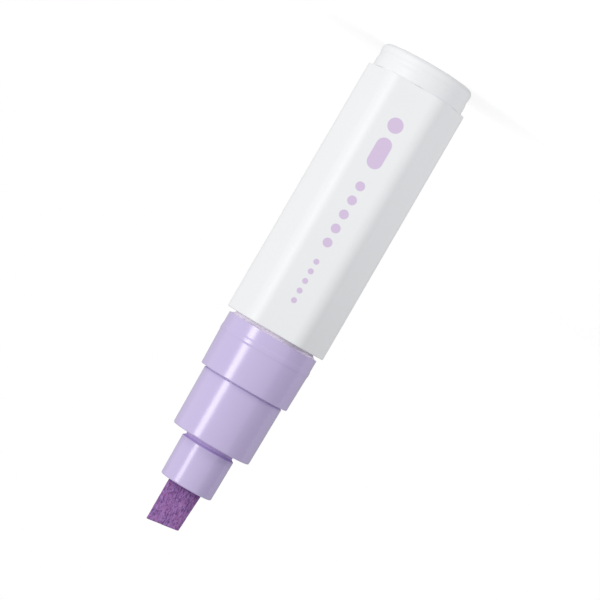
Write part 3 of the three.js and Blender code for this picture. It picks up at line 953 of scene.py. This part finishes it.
def set_floor():
    """A plain white floor under the tail. It lights nothing and shows in no reflection. Its own glow
    makes it white to the camera; close to the tail it is dimmer, a painted contact shadow beside the
    real one."""
    floor = add_flat("floor", 2 * FLOOR_HALF, 2 * FLOOR_HALF)
    floor.visible_shadow = False
    floor.visible_diffuse = False
    floor.visible_glossy = False
    albedo = (FLOOR_ALBEDO, FLOOR_ALBEDO, FLOOR_ALBEDO, 1)
    material, shader, place = new_material(
        "floor_white", Base_Color=albedo, Roughness=FLOOR_ROUGHNESS, Emission_Strength=FLOOR_GLOW)
    across, depth = place.axis("X"), place.axis("Y")
    # Painted contact shadow: the glow is dimmed close to the tail
    near = (across * across + depth * depth).root().below(FLOOR_NEAR, FLOOR_SOFT)
    glow = near.mix((1, 1, 1, 1), (FLOOR_PAINTED_SHADOW, FLOOR_PAINTED_SHADOW, FLOOR_PAINTED_SHADOW, 1))
    feed(shader, "Emission Color", looked_at(place.tree).mix((0, 0, 0, 1), glow))
    floor.data.materials.append(material)


def set_world():
    """A world that is white to the rays that look at it, and lights the marker less strongly."""
    world = bpy.data.worlds.new("studio")
    bpy.context.scene.world = world
    world.use_nodes = True
    tree = world.node_tree
    background = next(node for node in tree.nodes if node.type == "BACKGROUND")
    background.inputs["Color"].default_value = (1, 1, 1, 1)
    feed(background, "Strength", WORLD_LEVEL + (1.0 - WORLD_LEVEL) * looked_at(tree))


def add_lamp(name, direction, distance, aim, width, height, radiance):
    """A rectangular lamp whose long side stands upright, aimed at that height on the marker's axis.
    Its power is its radiance times its area times pi."""
    data = bpy.data.lights.new(name, "AREA")
    data.shape = "RECTANGLE"
    data.size = width
    data.size_y = height
    data.energy = radiance * width * height * math.pi
    lamp = bpy.data.objects.new(name, data)
    centre = Vector((0, 0, aim))
    place = centre + Vector(direction).normalized() * distance
    facing = (centre - place).to_track_quat("-Z", "Y").to_matrix().to_4x4()
    lamp.matrix_world = Matrix.Translation(place) @ facing
    bpy.context.scene.collection.objects.link(lamp)
    lamp.visible_camera = False
    return lamp


def add_card(name, direction, distance, width, grey):
    """A grey card that only reflections see. It keeps the marker's edges from shining."""
    card = add_flat(name, width, CARD_HEIGHT)
    place = Vector(direction).normalized() * distance
    facing = (-place).to_track_quat("Z", "Y").to_matrix().to_4x4()
    card.matrix_world = Matrix.Translation(place) @ facing
    card.visible_camera = False
    card.visible_diffuse = False
    card.visible_shadow = False
    card.visible_transmission = False
    black, shine = (0, 0, 0, 1), (grey, grey, grey, 1)
    material = new_material(
        name, Base_Color=black, Emission_Color=shine, Emission_Strength=1.0, Roughness=1.0)[0]
    card.data.materials.append(material)


def around(degrees, rise=0.0):
    """A level direction that many degrees from the front (-Y) towards +X, raised by rise."""
    angle = math.radians(degrees)
    return (math.sin(angle), -math.cos(angle), rise)


def set_lights():
    """A tall strip to the photograph's left of the camera makes the long highlight. Three fills, from
    low in front, from behind on the right and beside the tail, are hidden from reflections."""
    key = add_lamp(
        "key_strip", around(44.2), distance=0.7, aim=0.045, width=0.2, height=0.34, radiance=9.9)
    key.data.color = KEY_TINT
    fills = [
        add_lamp(
            "low_fill", around(42, -0.7), distance=0.5, aim=0.06, width=0.3, height=0.15, radiance=2.2),
        add_lamp(
            "rear_fill", around(-115), distance=0.8, aim=0.1, width=0.45, height=0.4, radiance=0.7),
        add_lamp(
            "side_fill", around(-66), distance=0.12, aim=0.012, width=0.08, height=0.04, radiance=3.3),
    ]
    for fill in fills:
        fill.visible_glossy = False


def set_cards():
    add_card("left_card", around(148), distance=1.0, width=1.2, grey=0.55)
    add_card("right_card", around(-80), distance=0.9, width=0.95, grey=0.05)
    add_card("rear_card", around(-140), distance=0.9, width=1.05, grey=0.32)


set_camera()
set_floor()
set_world()
set_lights()
set_cards()

white = moulded("white_plastic", WHITE, WHITE_DEEP, WHITE_ROUGHNESS, WHITE_REFRACTION)[0]
lilac = moulded("lilac_plastic", LILAC, LILAC_DEEP, LILAC_ROUGHNESS, LILAC_REFRACTION)[0]

dress(make_plug(), "tail_plug", "body", white)
dress(make_barrel(), "barrel", "body", printed_white())
dress(make_front_section(), "front_section", "body", lilac)
dress(make_mouth_gasket(), "mouth_gasket", "body", pale_rubber())
dress(make_holder(), "nib_holder", "body", groove_shaded_lilac())
dress(make_nib(), "nib", "nib_and_stem", felt())

# left is the share of the spring's length that is left at the end of the nib's travel; the spring
# gets a mesh of its own
spring_steel = bright_steel("spring_steel", low_roughness=0.25)
spring = dress(make_spring(), "valve_spring", "body", spring_steel)
travel = next(joint["range_m"][1] for joint in frame["joints"] if joint["name"] == "nib_press")
left = 1 - travel / (spring_high.z - spring_low.z)
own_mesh(spring)

# Hidden pieces keep the CAD's shapes
for node, material in {
    "seal_ring": black_rubber(),
    "valve_housing": bare_plastic(),
    "valve_retainer": bare_plastic(),
    "valve_gasket": black_rubber(),
    "valve_stem": bare_plastic(),
    "mixing_ball": bright_steel("ball_steel", low_roughness=0.1),
}.items():
    piece = frame["nodes"][node]
    piece.data.materials.clear()
    piece.data.materials.append(material)

bpy.context.scene.view_settings.view_transform = "Standard"
